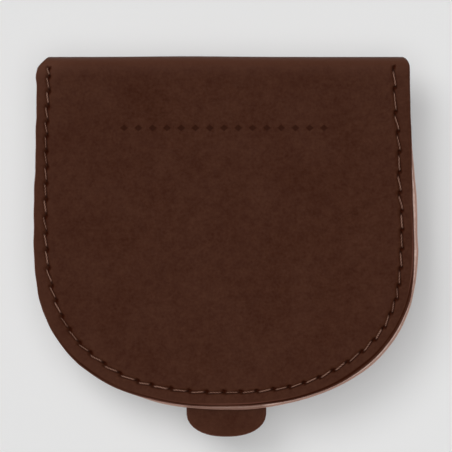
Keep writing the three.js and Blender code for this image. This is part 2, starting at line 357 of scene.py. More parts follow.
# The tab is cut in one with the lid's flange
TAB_HALF_WIDTH = 8.4 * MM
TAB_TIP_DEPTH = 5.0 * MM
TAB_FULLNESS = 2.2
TAB_OFFSET = 0.5 * MM
TAB_DROOP = 0.35 * MM
TAB_STRETCH = 0.15 * MM
TAB_ROOT_ROOM = 0.2 * MM


def tab_outline(root_y, inset, count):
    """The tab's outline from its left root to its right root, in evenly spaced points."""
    half = TAB_HALF_WIDTH - inset
    tip_centre_y = cover_low.y - TAB_STRETCH + TAB_TIP_DEPTH
    angles = np.linspace(math.pi, 2 * math.pi, FINE_STEPS // 10)
    power = 2 / TAB_FULLNESS
    tip_x = half * np.sign(np.cos(angles)) * np.abs(np.cos(angles)) ** power
    tip_y = tip_centre_y - (TAB_TIP_DEPTH - inset) * np.abs(np.sin(angles)) ** power
    x = np.r_[-half, tip_x, half]
    y = np.r_[root_y + inset, tip_y, root_y + inset]
    gone = np.r_[0, np.cumsum(np.hypot(np.diff(x), np.diff(y)))]
    at = np.linspace(0, gone[-1], count)
    return np.column_stack([centre_x + TAB_OFFSET + np.interp(at, gone, x), np.interp(at, gone, y)])


def with_tab(rings, insets):
    """Draws the middle of the nose out into the tab, on the rings of the lid's flange."""
    tab_x = centre_x + TAB_OFFSET
    first = rings[0]
    beside = np.abs(first[:, 0] - tab_x) < TAB_HALF_WIDTH + TAB_ROOT_ROOM
    columns = np.flatnonzero(beside & (first[:, 1] < nose_centre_y))
    root_y = first[columns[[0, -1]], 1].mean()
    edge = tab_outline(root_y, 0, len(columns))
    inner = tab_outline(root_y, insets[1], len(columns))
    root = rings[len(insets) - 1][columns, :2]
    for ring, inset in zip(rings, insets):
        share = max(0, (inset - insets[1]) / (insets[-1] - insets[1]))
        ring[columns, :2] = edge if inset == 0 else inner + (root - inner) * share
        out = np.clip((nose_y - ring[:, 1]) / (nose_y - cover_low.y), 0, 1)
        ring[:, 2] -= TAB_DROOP * out**2
    return rings


def moulded_lid():
    section = tray_section(flange_z, 0.0, FLANGE_WIDTH, RIM_RADIUS, FLOOR_RADIUS)
    rings = tray_rings(back_template, section, FLANGE_INSETS, fold_radius, 0.0)
    rings = with_tab(rings, FLANGE_INSETS)
    return leather_sheet("moulded_lid", rings), rings[0][:, :2]


# The fold stands out a little past the hinge line, most left of its middle. Its right end is rounded
# off and its left end cut off: each is drawn in by two shares of the fold's radius, with their powers.
FOLD_STEPS = 14
FOLD_SWELL = 0.06 * MM
CROWN_SWELL = 0.14 * MM
CROWN_PLACE = -8 * MM
CROWN_REACH = 13 * MM
ROUND_END = ((0.34, 2), (0.14, 12))
CUT_OFF_END = ((0.80, 1.15), (0.08, 8))
HINGE_TOLERANCE = 0.001 * MM
WELD_DISTANCE = 0.003 * MM


def fold(panel, lid):
    """Spins the panel's hinge edge half round to the lid, and joins the two into one sheet."""
    places = corners_of(panel)
    edges = np.array([edge.vertices[:] for edge in panel.data.edges])
    on_hinge = places[:, 1] > fold_y - HINGE_TOLERANCE
    bpy.context.view_layer.objects.active = panel
    choose(panel, "EDGE", on_hinge[edges].all(1))
    bpy.ops.mesh.spin(
        steps=FOLD_STEPS,
        angle=math.pi,
        center=(centre_x, fold_y, fold_z),
        axis=(1, 0, 0),
    )
    bpy.ops.object.mode_set(mode="OBJECT")
    places = corners_of(panel)
    rise = np.clip((places[:, 1] - fold_y) / fold_radius, 0, 1)
    round_end = sum(share * rise**power for share, power in ROUND_END)
    cut_off_end = sum(share * rise**power for share, power in CUT_OFF_END)
    from_middle = places[:, 0] - centre_x
    narrowing = fold_radius * np.where(from_middle > 0, round_end, cut_off_end)
    places[:, 0] = centre_x + from_middle * (1 - narrowing / HINGE_HALF_WIDTH)
    crown = np.exp(-(((from_middle - CROWN_PLACE) / CROWN_REACH) ** 2))
    places[:, 1] += rise * (FOLD_SWELL + CROWN_SWELL * crown)
    set_corners(panel, places)
    cover = join([panel, lid], "leather_cover")
    bpy.ops.object.mode_set(mode="EDIT")
    bpy.ops.mesh.select_all(action="SELECT")
    bpy.ops.mesh.remove_doubles(threshold=WELD_DISTANCE)
    bpy.ops.mesh.normals_make_consistent(inside=False)
    bpy.ops.object.mode_set(mode="OBJECT")
    return cover


HIDE_SWELL = 0.02 * MM
HIDE_PACES = (7.1 * MM, 8.7 * MM, 4.3 * MM, 5.9 * MM)


def hide_swell(places):
    """The slow unevenness of a hide: one patchwork of swells, and two slanting waves across it."""
    x, y = places[:, 0], places[:, 1]
    over_x, over_y, slanting, steep = HIDE_PACES
    swell = np.sin(x / over_x + 0.6) * np.sin(y / over_y + 1.1)
    swell += 0.6 * np.sin((x + y) / slanting) + 0.5 * np.sin((x - 1.6 * y) / steep + 2.0)
    return HIDE_SWELL * swell


panel = back_panel()
lid, lid_ring = moulded_lid()
cover = fold(panel, lid)

places = corners_of(cover)
places[:, 2] += np.where(places[:, 2] > fold_z, hide_swell(places), 0)
set_corners(cover, places)

apply_modifier(
    cover, "thickness", "SOLIDIFY",
    thickness=COVER_THICKNESS, offset=-1, use_even_offset=True, material_offset=1, material_offset_rim=0,
)
apply_modifier(
    cover, "burnished_edge", "BEVEL",
    width=EDGE_ROUNDING, segments=4, limit_method="ANGLE", angle_limit=math.radians(50),
    use_clamp_overlap=False,
)

# The seam runs round the sides and the nose. Its holes were pricked by hand, so their distance
# from the edge and their spacing wander. Both are read off at shares of the seam's length.
SEAM = (
    # share, distance from the edge in mm, spacing in mm
    (0.00, 2.32, 2.00),
    (0.012, 2.37, 2.10),
    (0.020, 2.58, 3.25),
    (0.06, 2.21, 3.05),
    (0.10, 2.11, 3.30),
    (0.13, 2.31, 3.40),
    (0.19, 2.44, 3.72),
    (0.225, 2.75, 4.00),
    (0.265, 3.14, 3.72),
    (0.30, 3.16, 3.98),
    (0.32, 3.22, 3.56),
    (0.34, 3.27, 4.15),
    (0.38, 3.02, 4.46),
    (0.404, 2.85, 3.28),
    (0.42, 2.85, 4.36),
    (0.46, 3.02, 3.93),
    (0.50, 2.97, 3.59),
    (0.55, 2.90, 3.63),
    (0.58, 2.82, 3.40),
    (0.62, 3.07, 3.80),
    (0.66, 2.96, 4.13),
    (0.69, 2.75, 3.52),
    (0.71, 2.69, 3.70),
    (0.73, 3.02, 3.40),
    (0.78, 2.92, 4.18),
    (0.80, 2.72, 4.15),
    (0.84, 2.52, 3.90),
    (0.86, 2.81, 4.20),
    (0.90, 2.71, 4.28),
    (0.925, 2.96, 4.08),
    (0.945, 3.21, 5.25),
    (0.97, 3.36, 3.95),
)
SEAM_START = 2.24 * MM
SEAM_END = 2.1 * MM
SEAM_SPREAD = 0.04 * MM
LEAST_SPACING = 2 * MM
EDGE_SMOOTHING = 81


def free_edge(ring):
    """Fine points along a cut edge, from the hinge edge's left end to its right, and how far each lies."""
    corner = CORNER_PLACES // 2
    left = ring[-(SIDE_PLACES + corner):]
    right = ring[: NOSE_PLACES + SIDE_PLACES + corner + 1]
    rough = np.vstack([left, right])
    top = np.array([[rough[0, 0], hinge_y], [rough[-1, 0], hinge_y]])
    rough = np.vstack([top[:1], rough, top[1:]])
    gone = np.r_[0, np.cumsum(np.hypot(*np.diff(rough, axis=0).T))]
    at = np.linspace(0, gone[-1], FINE_STEPS)
    return np.column_stack([np.interp(at, gone, rough[:, 0]), np.interp(at, gone, rough[:, 1])]), at


edge_line, edge_gone = free_edge(hand_cut(back_template, 0, fold_radius, 0, PANEL_HAND))
lid_edge_line, _ = free_edge(lid_ring)
edge_length = edge_gone[-1]


def seam_holes():
    """Hole centres along the seam, with the inward direction at each."""
    wander = np.random.RandomState(11)
    shares, insets, spacings = np.array(SEAM).T
    smooth = []
    for steps in np.gradient(edge_line, axis=0).T:
        padded = np.pad(steps, EDGE_SMOOTHING // 2, "edge")
        smooth.append(np.convolve(padded, np.ones(EDGE_SMOOTHING) / EDGE_SMOOTHING, "valid"))
    smooth = np.column_stack(smooth)
    smooth /= np.hypot(smooth[:, 0], smooth[:, 1])[:, None]
    gone = [SEAM_START]
    while gone[-1] < edge_length - SEAM_END - LEAST_SPACING:
        spacing = np.interp(gone[-1] / edge_length, shares, spacings) * MM
        gone.append(gone[-1] + spacing + wander.uniform(-1, 1) * SEAM_SPREAD)
    gone[-1] = edge_length - SEAM_END
    holes, inwards = [], []
    for distance in gone:
        k = int(np.searchsorted(edge_gone, distance))
        inward = np.array([-smooth[k, 1], smooth[k, 0]])
        inset = np.interp(distance / edge_length, shares, insets) * MM
        inset += wander.uniform(-1, 1) * SEAM_SPREAD
        holes.append(edge_line[k] + inward * inset)
        inwards.append(inward)
    return np.array(holes), np.array(inwards)


holes, inwards = seam_holes()
seam_way = np.column_stack([inwards[:, 1], -inwards[:, 0]])
seam_across = (holes[:, 0] - centre_x) / half_width

# The slits, and the painted shade in them, are set off the holes: inwards of the seam, but a little
# outwards on the right side. On the left side the thread was pulled back over them.
SLIT_SHIFT = 0.30 * MM
SLIT_SHIFT_RIGHT = -0.12 * MM
PULL_BACK_LEFT = 0.35 * MM
STITCH_SLANT = 0.12 * MM
STITCH_SLANT_SIDES = 0.28 * MM

slit_offsets = np.interp(seam_across, (0, 1), (SLIT_SHIFT, SLIT_SHIFT_RIGHT))
slit_middles = holes + inwards * slit_offsets[:, None]


def stitch_ends():
    """Each stitch comes up at the outer end of one slit and goes down at the inner end of the next."""
    pulled = seam_way * np.interp(seam_across, (-1, -0.4), (PULL_BACK_LEFT, 0))[:, None]
    slant = STITCH_SLANT + (STITCH_SLANT_SIDES - STITCH_SLANT) * np.abs(inwards[:, 0])
    starts = holes - pulled - inwards * slant[:, None]
    ends = holes - pulled + inwards * slant[:, None]
    return starts[:-1], ends[1:]


stitch_starts, stitch_stops = stitch_ends()

# Each stitch has pressed a bed with a low lip beside it, and each slit has drawn the leather down
# round it. Beside each stitch lies a painted shadow, darkest on its lower right, where its shadow falls.
BED_DEPTH = 0.13 * MM
BED_WIDTH = 0.36 * MM
SLIT_DEPTH = 0.42 * MM
SLIT_HALF_LENGTH = 0.66 * MM
SLIT_HALF_WIDTH = 0.31 * MM
SLIT_SLANT = math.radians(22)
SLIT_POWER = 2.5
PUCKER_DEPTH = 0.10 * MM
PUCKER_WIDTH = 0.85 * MM
LIP_HEIGHT = 0.035 * MM
LIP_DISTANCE = 0.75 * MM
LIP_WIDTH = 0.3 * MM
STITCH_SHADOW_WIDTH = 0.28 * MM
STITCH_SHADOW_FADE = 0.18 * MM
STITCH_SHADOW_TONE = 0.62


def seam_relief(x, y):
    """How far the seam presses the face down, how deep in a slit a point is, and how much painted shadow
    beside a stitch it gets.
    """
    point = np.stack([x, y], 1)
    along = stitch_stops - stitch_starts
    length = np.hypot(along[:, 0], along[:, 1])
    along = along / length[:, None]
    offset = point[:, None] - stitch_starts[None]
    gone = (offset * along[None]).sum(2)
    aside = offset[..., 0] * along[None, :, 1] - offset[..., 1] * along[None, :, 0]
    outside = np.maximum(np.maximum(-gone, gone - length[None]), 0)
    away = np.hypot(aside, outside)
    bed = -BED_DEPTH * np.exp(-((away / BED_WIDTH) ** 2)).max(1)
    # Painted shadow beside each stitch, darkest on its lower right, where its shadow falls
    lower_right = (along[:, 1] + along[:, 0])[None] * np.sign(aside) * math.sqrt(0.5)
    stitch_shadow = np.clip((STITCH_SHADOW_WIDTH + STITCH_SHADOW_FADE - away) / STITCH_SHADOW_FADE, 0, 1)
    stitch_shadow *= STITCH_SHADOW_TONE + (1 - STITCH_SHADOW_TONE) * lower_right
    lip = LIP_HEIGHT * np.exp(-(((away - LIP_DISTANCE) / LIP_WIDTH) ** 2)).max(1)
    slit_way = seam_way * math.cos(SLIT_SLANT) - inwards * math.sin(SLIT_SLANT)
    offset = point[:, None] - slit_middles[None]
    lengthwise = (offset * slit_way[None]).sum(2)
    crosswise = offset[..., 0] * slit_way[None, :, 1] - offset[..., 1] * slit_way[None, :, 0]
    reach = np.hypot(lengthwise / SLIT_HALF_LENGTH, crosswise / SLIT_HALF_WIDTH)
    slit = -SLIT_DEPTH * (1 - np.clip(reach, 0, 1) ** SLIT_POWER).max(1)
    from_slit = np.hypot(offset[..., 0], offset[..., 1])
    pucker = -PUCKER_DEPTH * np.exp(-((from_slit / PUCKER_WIDTH) ** 2)).max(1)
    return bed + lip + slit + pucker, slit / -SLIT_DEPTH, stitch_shadow.max(1)


def near_edge(points, line):
    """Distance in plan to a cut edge, given as fine points."""
    tree = KDTree(len(line))
    for k, (x, y) in enumerate(line):
        tree.insert((x, y, 0), k)
    tree.balance()
    return np.array([tree.find((x, y, 0))[2] for x, y in points[:, :2]])


# A plain line of lozenges is blind tooled into the panel
TOOLED_Y = 24.9 * MM
TOOLED_HALF_LENGTH = 21.0 * MM
TOOLED_COUNT = 15
TOOLED_PITCH = 2 * TOOLED_HALF_LENGTH / (TOOLED_COUNT - 1)
LOZENGE_HALF_WIDTH = 0.95 * MM
LOZENGE_HALF_HEIGHT = 0.80 * MM
LOZENGE_RIM = 1.1
LOZENGE_BEVEL = 0.3
TOOLED_DEPTH = 0.09 * MM


def tooled_relief(x, y):
    """How far the tool has pressed the leather down."""
    from_start = x - centre_x + TOOLED_HALF_LENGTH
    nearest = np.clip(np.round(from_start / TOOLED_PITCH), 0, TOOLED_COUNT - 1) * TOOLED_PITCH
    reach = np.abs(from_start - nearest) / LOZENGE_HALF_WIDTH + np.abs(y - TOOLED_Y) / LOZENGE_HALF_HEIGHT
    share = np.clip((LOZENGE_RIM - reach) / LOZENGE_BEVEL, 0, 1)
    return -TOOLED_DEPTH * share * share * (3 - 2 * share)


# What counts as the top of the back panel, and how far from its edge the seam needs a finer mesh
# and presses the leather
FACE_BAND = 0.4 * MM
FACE_LEVEL = 0.6
UPPER_BAND = 0.3 * MM
FINE_STRIP = (1.35 * MM, 4.8 * MM)
PRESSED_STRIP = (0.8 * MM, 5.2 * MM)


def on_face(piece):
    """Marks the faces that lie on top of the back panel."""
    return (face_middles(piece)[:, 2] > face_z - FACE_BAND) & (face_normals(piece)[:, 2] > FACE_LEVEL)


def cut_square(xs, ys):
    """Cuts the chosen faces along straight lines across X and Y, and leaves the others whole."""
    bpy.ops.mesh.hide(unselected=True)
    for place, way in [((x, 0, 0), (1, 0, 0)) for x in xs] + [((0, y, 0), (0, 1, 0)) for y in ys]:
        bpy.ops.mesh.select_all(action="SELECT")
        bpy.ops.mesh.bisect(plane_co=place, plane_no=way)
    bpy.ops.mesh.reveal(select=False)
    bpy.ops.object.mode_set(mode="OBJECT")


distance = near_edge(face_middles(cover), edge_line)
choose(cover, "FACE", on_face(cover) & (distance > FINE_STRIP[0]) & (distance < FINE_STRIP[1]))
bpy.ops.mesh.subdivide(number_cuts=3)
bpy.ops.object.mode_set(mode="OBJECT")

# The tooled strip gets a square mesh of its own, fine enough for the lozenges
STRIP_HALF_HEIGHT = 1.2 * MM
STRIP_HALF_LENGTH = TOOLED_HALF_LENGTH + 1.5 * MM
STRIP_LINES_ACROSS = 91
STRIP_LINES_ALONG = 7
STRIP_SURROUNDINGS = 8 * MM
STRIP_TOLERANCE = 0.05 * MM

strip_xs = centre_x + np.linspace(-STRIP_HALF_LENGTH, STRIP_HALF_LENGTH, STRIP_LINES_ACROSS)
strip_ys = TOOLED_Y + np.linspace(-STRIP_HALF_HEIGHT, STRIP_HALF_HEIGHT, STRIP_LINES_ALONG)
near_strip = np.abs(face_middles(cover)[:, 1] - TOOLED_Y) < STRIP_SURROUNDINGS
choose(cover, "FACE", on_face(cover) & near_strip)
cut_square(strip_xs[[0, -1]], strip_ys[[0, -1]])
middles = face_middles(cover)
in_strip = on_face(cover) & (np.abs(middles[:, 1] - TOOLED_Y) < STRIP_HALF_HEIGHT)
choose(cover, "FACE", in_strip & (np.abs(middles[:, 0] - centre_x) < STRIP_HALF_LENGTH))
cut_square(strip_xs[1:-1], strip_ys[1:-1])

places = corners_of(cover)
upper = places[:, 2] > face_z - UPPER_BAND
from_panel_edge = near_edge(places, edge_line)
from_lid_edge = near_edge(places, lid_edge_line)
slit_shade_mark = np.zeros(len(places))
stitch_shadow_mark = np.zeros(len(places))
in_seam = upper & (from_panel_edge > PRESSED_STRIP[0]) & (from_panel_edge < PRESSED_STRIP[1])
relief, slit_shade_mark[in_seam], stitch_shadow_mark[in_seam] = seam_relief(places[in_seam, 0], places[in_seam, 1])
places[in_seam, 2] += relief
in_tooling = upper & (np.abs(places[:, 1] - TOOLED_Y) < STRIP_HALF_HEIGHT + STRIP_TOLERANCE)
in_tooling &= np.abs(places[:, 0] - centre_x) < STRIP_HALF_LENGTH - STRIP_TOLERANCE
places[in_tooling, 2] += tooled_relief(places[in_tooling, 0], places[in_tooling, 1])

# A creasing iron left a dark line beside the edge, deep on the lower right, where its darkness is partly
# painted shade, away from the light. In places a painted highlight runs along the shoulder. Past the
# crease the edge was burnished round.
SHOULDER_WIDTH = 1.1 * MM
SHOULDER_POWER = 1.6
SHOULDER_DROP = 0.08 * MM
CREASE_DROP = 0.12 * MM
FINISH_MARKS = ("crease", "crease_width", "crease_and_shade", "shoulder_highlight")
LID_FINISH = (0.2, 0.1, 0.2, 0.1)
EDGE_FINISH = (
    # degrees clockwise from the right, crease from the edge and half width in mm, darkness with painted
    # shade, painted shoulder highlight
    (-60, 0.20, 0.10, 0.3, 0.0),
    (-12, 0.15, 0.10, 0.2, 0.2),
    (-3, 0.06, 0.10, 0.2, 0.9),
    (6, 0.18, 0.10, 0.5, 0.9),
    (14, 0.55, 0.10, 1.0, 0.1),
    (28, 0.60, 0.13, 0.9, 0.0),
    (42, 0.65, 0.26, 1.0, 0.0),
    (56, 0.42, 0.18, 1.0, 0.0),
    (68, 0.38, 0.18, 1.0, 0.3),
    (80, 0.32, 0.16, 0.8, 0.8),
    (90, 0.30, 0.10, 0.2, 0.7),
    (101, 0.30, 0.12, 0.9, 0.3),
    (115, 0.40, 0.14, 0.7, 0.2),
    (128, 0.45, 0.12, 0.4, 0.0),
    (140, 0.42, 0.22, 0.9, 0.0),
    (152, 0.30, 0.10, 0.1, 0.0),
    (240, 0.20, 0.10, 0.1, 0.0),
)
turn = np.degrees(np.arctan2(nose_centre_y - places[:, 1], places[:, 0] - centre_x))
turn = np.where(turn < -90, turn + 360, turn)
finish_turns, *columns = np.array(EDGE_FINISH).T
finish = {mark: np.interp(turn, finish_turns, column) for mark, column in zip(FINISH_MARKS, columns)}
shoulder = np.clip(1 - from_panel_edge / SHOULDER_WIDTH, 0, 1) ** SHOULDER_POWER
places[:, 2] -= np.where(upper, shoulder * (SHOULDER_DROP + CREASE_DROP * finish["crease_and_shade"]), 0)
set_corners(cover, places)


def add_attribute(piece, name, values):
    attribute = piece.data.attributes.new(name, "FLOAT", "POINT")
    attribute.data.foreach_set("value", np.asarray(values, np.float32))


# The fold is paler, most at its left corner: rubbed wear with a painted highlight where the fold turns to
# the light. The edges are paler too, least on the far right.
PALE_FOLD_START = 3 * MM
PALE_FOLD_REACH = 5 * MM
CORNER_RUB_AND_HIGHLIGHT = 0.6
EDGE_PALING = 0.28
EDGE_PALING_REACH = 2.5 * MM
EDGE_PALING_END = 1.2
MOST_PALING = 1.5

on_lid = places[:, 2] < fold_z
from_edge = np.where(on_lid, from_lid_edge, from_panel_edge)
fold_rub_and_highlight = np.clip((places[:, 1] - (fold_y - PALE_FOLD_START)) / PALE_FOLD_REACH, 0, 1) ** 2
corner_gap = np.hypot(places[:, 0] - centre_x + HINGE_HALF_WIDTH, places[:, 1] - hinge_y)
fold_rub_and_highlight += CORNER_RUB_AND_HIGHLIGHT * np.exp(-((corner_gap / PALE_FOLD_REACH) ** 2))
paler_edges = EDGE_PALING * np.exp(-from_edge / EDGE_PALING_REACH) * np.clip(EDGE_PALING_END - places[:, 0] / half_width, 0, 1)
add_attribute(cover, "from_edge", from_edge / MM)
for mark, lid_value in zip(FINISH_MARKS, LID_FINISH):
    add_attribute(cover, mark, np.where(on_lid, lid_value, finish[mark]))
add_attribute(cover, "rubbed_and_highlight", np.clip(fold_rub_and_highlight + paler_edges, 0, MOST_PALING))
# The slit mark paints the slits dark: painted shade in the holes
add_attribute(cover, "slit", slit_shade_mark)
add_attribute(cover, "stitch_shadow", stitch_shadow_mark)
add_attribute(cover, "tooled_strip", in_tooling)


def linear(hex_colour):
    """An sRGB hex colour as linear RGBA."""
    channels = [int(hex_colour[k:k + 2], 16) / 255 for k in (1, 3, 5)]
    return [c / 12.92 if c <= 0.04045 else ((c + 0.055) / 1.055) ** 2.4 for c in channels] + [1.0]


def new_material(name):
    material = bpy.data.materials.new(name)
    material.use_nodes = True
    material.node_tree.nodes.clear()
    return material, material.node_tree


def add(tree, kind, inputs, **settings):
    """Adds a node with its settings. An input is a constant, a socket, or a node for its main output."""
    made = tree.nodes.new(kind)
    for name, value in settings.items():
        setattr(made, name, value)
    for name, value in inputs.items():
        if isinstance(value, bpy.types.Node):
            value = next(socket for socket in value.outputs if socket.enabled)
        if isinstance(value, bpy.types.NodeSocket):
            tree.links.new(value, made.inputs[name])
        else:
            made.inputs[name].default_value = value
    return made


# The dye's clouds and mottling, then the grain and its pores. A real grain is about half as wide,
# and this one is drawn as coarse as it needs to show.
CLOUD_WIDTH = 9 * MM
MOTTLE_WIDTH = 1.6 * MM
GRAIN_WIDTH = 0.6 * MM
PORE_WIDTH = 0.42 * MM
HIGHLIGHT_FROM_CREASE = 0.24


def smooth_cowhide():
    """Waxed drum-dyed cowhide: fine grain, cloudy colour, a dark edge line with painted shade, painted
    highlights on the rim, the shoulder and the rubbed fold, painted shadow and shade at the seam.
    """
    material, tree = new_material("waxed_brown_cowhide")
    marks = {}
    for name in (*FINISH_MARKS, "from_edge", "rubbed_and_highlight", "slit", "stitch_shadow", "tooled_strip"):
        marks[name] = add(tree, "ShaderNodeAttribute", {}, attribute_name=name).outputs["Fac"]

    coords = add(tree, "ShaderNodeTexCoord", {}).outputs["Object"]
    clouds = add(tree, "ShaderNodeTexNoise", {"Vector": coords, "Scale": 1 / CLOUD_WIDTH, "Detail": 2.0})
    mottle = add(tree, "ShaderNodeTexNoise", {"Vector": coords, "Scale": 1 / MOTTLE_WIDTH, "Detail": 3.0})
    grain = add(tree, "ShaderNodeTexNoise", {"Vector": coords, "Scale": 1 / GRAIN_WIDTH, "Detail": 3.0})
    pores = add(tree, "ShaderNodeTexVoronoi", {"Vector": coords, "Scale": 1 / PORE_WIDTH})
    fine_tone = add(tree, "ShaderNodeMath", {0: mottle, 1: grain}, operation="ADD")
    tone = add(tree, "ShaderNodeMath", {0: clouds, 1: 0.6, 2: fine_tone}, operation="MULTIPLY_ADD")
    paleness = add(tree, "ShaderNodeMapRange", {"Value": tone, "From Min": 0.9, "From Max": 1.7})
    colour = add(tree, "ShaderNodeMix", {
        0: paleness, 6: linear("#37180b"), 7: linear("#47291c"),
    }, data_type="RGBA")

    # How far a point is from the nearest lozenge, from the painted shoulder highlight and from the crease
    split = add(tree, "ShaderNodeSeparateXYZ", {"Vector": coords})
    from_centre = add(tree, "ShaderNodeMath", {0: split.outputs["X"], 1: centre_x}, operation="SUBTRACT")
    across = add(tree, "ShaderNodeMath", {0: from_centre, 1: TOOLED_PITCH / 2}, operation="PINGPONG")
    widths = add(tree, "ShaderNodeMath", {0: across, 1: LOZENGE_HALF_WIDTH}, operation="DIVIDE")
    above = add(tree, "ShaderNodeMath", {0: split.outputs["Y"], 1: TOOLED_Y}, operation="SUBTRACT")
    upwards = add(tree, "ShaderNodeMath", {0: above}, operation="ABSOLUTE")
    heights = add(tree, "ShaderNodeMath", {0: upwards, 1: LOZENGE_HALF_HEIGHT}, operation="DIVIDE")
    from_lozenge = add(tree, "ShaderNodeMath", {0: widths, 1: heights}, operation="ADD")
    from_crease = add(tree, "ShaderNodeMath", {
        0: marks["from_edge"], 1: marks["crease"],
    }, operation="SUBTRACT")
    past_crease = add(tree, "ShaderNodeMath", {0: from_crease, 1: HIGHLIGHT_FROM_CREASE}, operation="SUBTRACT")
    from_shoulder_highlight = add(tree, "ShaderNodeMath", {0: past_crease}, operation="ABSOLUTE")
    beside = add(tree, "ShaderNodeMath", {0: from_crease}, operation="ABSOLUTE")
    across_crease = add(tree, "ShaderNodeMath", {0: beside, 1: marks["crease_width"]}, operation="DIVIDE")

    # What lies over the dye, from below upwards: rubbed wear with a painted highlight, tooling, a painted
    # highlight along the shoulder, the crease line with painted shade, a painted highlight on the rim,
    # painted shadow beside the stitches, painted shade in the slits
    # The paler fold and edges: rubbed wear with a painted highlight
    layers = [(marks["rubbed_and_highlight"], "#513124")]
    for distance, near, far, most, strength, tint in (
        (from_lozenge, 0.75, 1.05, 0.8, marks["tooled_strip"], "#2a0f05"),
        # A painted highlight along the shoulder, beside the crease
        (from_shoulder_highlight, 0.05, 0.17, 1.0, marks["shoulder_highlight"], "#5f3b30"),
        # The crease line: a dark line with painted shade, deepest on the lower right
        (across_crease, 0.5, 1.3, 1.0, marks["crease_and_shade"], "#2e0f03"),
        # A painted highlight on the rounded rim, paler than the dye
        (marks["from_edge"], 0.08, 0.22, 0.5, 1.0, "#75493a"),
    ):
        faded = add(tree, "ShaderNodeMapRange", {
            "Value": distance, "From Min": near, "From Max": far, "To Min": most, "To Max": 0.0,
        })
        share = add(tree, "ShaderNodeMath", {0: faded, 1: strength}, operation="MULTIPLY")
        layers.append((share, tint))
    # Painted shadow beside the stitches
    in_stitch_shadow = add(tree, "ShaderNodeMath", {0: marks["stitch_shadow"], 1: 0.75}, operation="MULTIPLY")
    # The slits are painted dark: painted shade in the holes
    layers += [(in_stitch_shadow, "#240b03"), (marks["slit"], "#331207")]
    for share, tint in layers:
        colour = add(tree, "ShaderNodeMix", {0: share, 6: colour, 7: linear(tint)}, data_type="RGBA")

    height = add(tree, "ShaderNodeMath", {0: pores, 1: 0.5, 2: grain}, operation="MULTIPLY_ADD")
    bump = add(tree, "ShaderNodeBump", {"Height": height, "Strength": 0.6, "Distance": 0.05 * MM})
    shine = add(tree, "ShaderNodeMapRange", {
        "Value": mottle, "From Min": 0.3, "From Max": 0.7, "To Min": 0.45, "To Max": 0.58,
    })
    shader = add(tree, "ShaderNodeBsdfPrincipled", {
        "Base Color": colour, "Roughness": shine, "Normal": bump, "Specular IOR Level": 0.12,
    })
    add(tree, "ShaderNodeOutputMaterial", {"Surface": shader})
    return material


# The nap's fibres are really finer, and are drawn as coarse as they need to show
NAP_WIDTH = 0.5 * MM


def flesh_side():
    """The flesh side of the same hide: brown suede with a short loose nap."""
    material, tree = new_material("brown_flesh_side")
    coords = add(tree, "ShaderNodeTexCoord", {}).outputs["Object"]
    nap = add(tree, "ShaderNodeTexNoise", {"Vector": coords, "Scale": 1 / NAP_WIDTH, "Detail": 4.0})
    tint = add(tree, "ShaderNodeMix", {0: nap, 6: linear("#4a2c1f"), 7: linear("#6d4534")}, data_type="RGBA")
    bump = add(tree, "ShaderNodeBump", {"Height": nap, "Strength": 0.8, "Distance": 0.08 * MM})
    shader = add(tree, "ShaderNodeBsdfPrincipled", {
        "Base Color": tint, "Roughness": 0.9, "Normal": bump, "Specular IOR Level": 0.2,
    })
    add(tree, "ShaderNodeOutputMaterial", {"Surface": shader})
    return material


cover.data.materials.clear()
cover.data.materials.append(smooth_cowhide())
cover.data.materials.append(flesh_side())
bpy.ops.object.select_all(action="DESELECT")
cover.select_set(True)
bpy.context.view_layer.objects.active = cover
bpy.ops.object.shade_smooth_by_angle(angle=math.radians(50))
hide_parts("cover")
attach(cover, "root")


# The cup that holds the coins is natural, undyed cowhide of 1.1 mm, moulded like the lid and left
# with a raw edge. Its flange is sewn under the back panel and shows past it as a pale band.
CUP_CLEARANCE = 0.5 * MM
CUP_FLOOR_RADIUS = 3.0 * MM
CUP_MOUTH_SETBACK = 8.0 * MM
CUP_FLANGE_SETBACK = 0.5 * MM
CUP_FLANGE_INSETS = [inset * MM for inset in (0, 0.25, 0.4, 0.55, 1.0, 2.5, 4.0)]
CUP_SIDE_SETBACK = 1.15 * MM
CUP_ARM_WIDTH = 5.6 * MM
UNDER_FLANGE = 0.05 * MM
CUP_EDGE_ROUNDING = 0.18 * MM
CUP_STRAYS = (
    # degrees, outwards in mm, reach in degrees
    (-142, -0.25, 8),
    (-121, -0.40, 8),
    (-80, 0.16, 8),
    (-55, -0.48, 20),
    (-35, -0.10, 12),
    (0, 0.15, 6),
    (15, 0.42, 9),
)

cup_low, cup_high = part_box("coin_cup")
cup_flange_z = cup_high.z - CUP_THICKNESS
cup_centre_x = (cup_low.x + cup_high.x) / 2
cup_template = {
    "centre_x": cup_centre_x,
    "half": (cup_high.x - cup_low.x) / 2,
    "hinge_half": HINGE_HALF_WIDTH - CUP_SIDE_SETBACK,
    "depth": nose_centre_y - cup_low.y,
    "strays": CUP_STRAYS,
}
cup_wall_inset = FLANGE_WIDTH + (COVER_THICKNESS + CUP_CLEARANCE) / math.cos(WALL_DRAFT)
cup_flange_end = COVER_THICKNESS + CUP_FLANGE_SETBACK


def moulded_cup():
    section = tray_section(
        cup_flange_z, cup_low.z, cup_wall_inset, RIM_RADIUS + COVER_THICKNESS, CUP_FLOOR_RADIUS,
    )
    rings = tray_rings(cup_template, section, CUP_FLANGE_INSETS, cup_flange_end, LEAST_CORNER_RADIUS)
    return leather_sheet("coin_cup_leather", rings)


